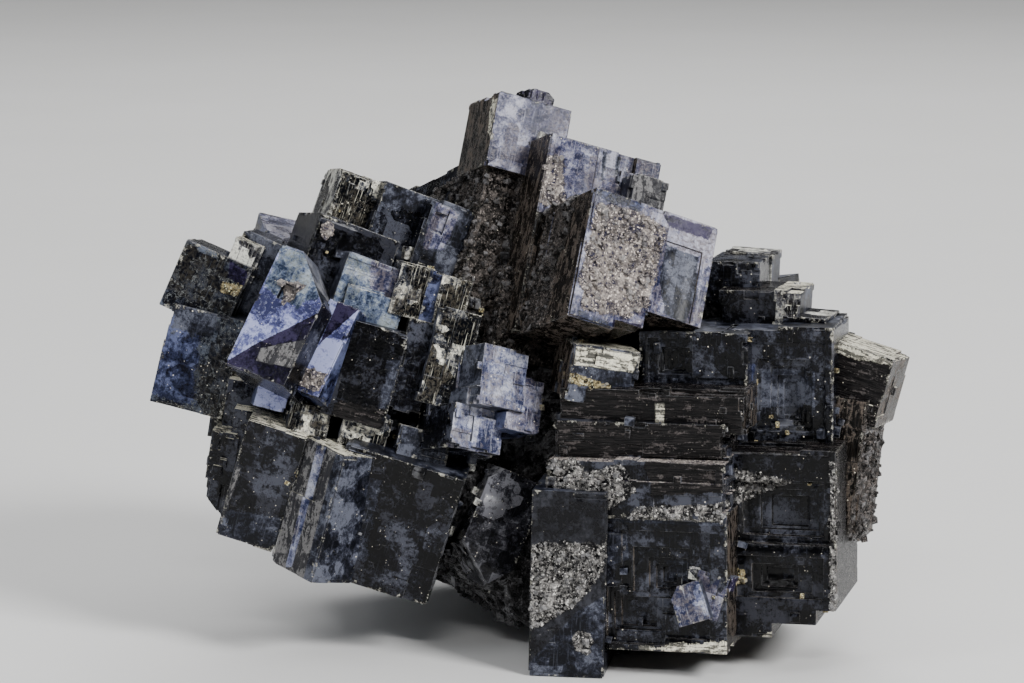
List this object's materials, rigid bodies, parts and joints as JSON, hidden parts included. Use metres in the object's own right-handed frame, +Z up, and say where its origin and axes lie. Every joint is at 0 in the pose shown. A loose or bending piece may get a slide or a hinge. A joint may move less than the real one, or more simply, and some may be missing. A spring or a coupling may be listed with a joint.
{
  "type": "magnetite specimen",
  "caption": "Mineral specimen: a cluster of intergrown stepped cubic dark crystals on massive magnetite, standing on a flat patch of its base.",
  "frame": {"origin": "middle of the overall box, at the level of the flat patch that the specimen stands on", "axes": "+X along the specimen's length, to the right of a viewer facing its crystal front; +Y from the crystal front to the back; +Z up"},
  "size_m": [0.0628, 0.0386, 0.0453],
  "materials": {
    "black_crystal": "near-black submetallic to glassy crystal faces, fine growth striations",
    "blue_crystal_face": "deep blue-violet tarnished crystal faces, glossy",
    "lavender_crystal_face": "lavender-grey tarnish over black, satin to glossy, mottled",
    "pale_crystal_face": "pale grey glinting faces with cream highlights",
    "drusy_crust": "tan-grey drusy crust of fine bumps over lavender faces",
    "brown_streaked_crystal": "dark brown-black faces with grey-brown streaks",
    "clear_smoky_crystal": "smoky glassy faces, glossy",
    "massive_magnetite": "rough granular dull black"
  },
  "bodies": {
    "root": {"drusy_crystal": "drusy_crust", "upper_crystal": "lavender_crystal_face", "crown_crystal": "lavender_crystal_face", "crown_bud": "blue_crystal_face", "upper_step": "lavender_crystal_face", "ledge_crystal": "pale_crystal_face", "shoulder_crystal": "brown_streaked_crystal", "lower_shoulder": "brown_streaked_crystal", "middle_crystal": "lavender_crystal_face", "middle_low_crystal": "lavender_crystal_face", "middle_side_crystal": "blue_crystal_face", "column_left": "pale_crystal_face", "column_centre": "blue_crystal_face", "column_right": "lavender_crystal_face", "pillar_right": "black_crystal", "pillar_left": "black_crystal", "far_left_cube": "black_crystal", "left_low_crystal": "blue_crystal_face", "lavender_crystal": "lavender_crystal_face", "strip_crystal": "lavender_crystal_face", "blue_crystal": "blue_crystal_face", "back_left_crystal": "pale_crystal_face", "small_blue_cube": "lavender_crystal_face", "wedge_crystal": "lavender_crystal_face", "pale_crystal": "pale_crystal_face", "pane_crystal": "black_crystal", "black_cube": "black_crystal", "speckled_crystal": "pale_crystal_face", "grey_crystal_left": "black_crystal", "grey_crystal_right": "blue_crystal_face", "facet_crystal": "lavender_crystal_face", "left_block": "black_crystal", "right_block": "black_crystal", "left_end_crystal": "pale_crystal_face", "top_cube_left": "pale_crystal_face", "top_cube_centre": "black_crystal", "top_cube_right": "blue_crystal_face", "clear_crystal": "clear_smoky_crystal", "perched_cube_left": "pale_crystal_face", "perched_cube_right": "pale_crystal_face", "corner_column": "brown_streaked_crystal", "hopper_lower": "black_crystal", "hopper_right": "black_crystal", "right_corner": "brown_streaked_crystal", "right_slab": "brown_streaked_crystal", "terrace_right": "blue_crystal_face", "centre_block": "black_crystal", "band_upper": "brown_streaked_crystal", "band_middle": "black_crystal", "band_lower": "drusy_crust", "stack_top": "black_crystal", "stack_middle": "black_crystal", "bright_step": "pale_crystal_face", "edge_step": "black_crystal", "back_right_crystal": "pale_crystal_face", "rear_upper_crystal": "black_crystal", "rear_left_crystal": "blue_crystal_face", "rear_right_crystal": "black_crystal", "rear_low_crystal": "brown_streaked_crystal", "massive_magnetite": "massive_magnetite"}
  },
  "joints": []
}
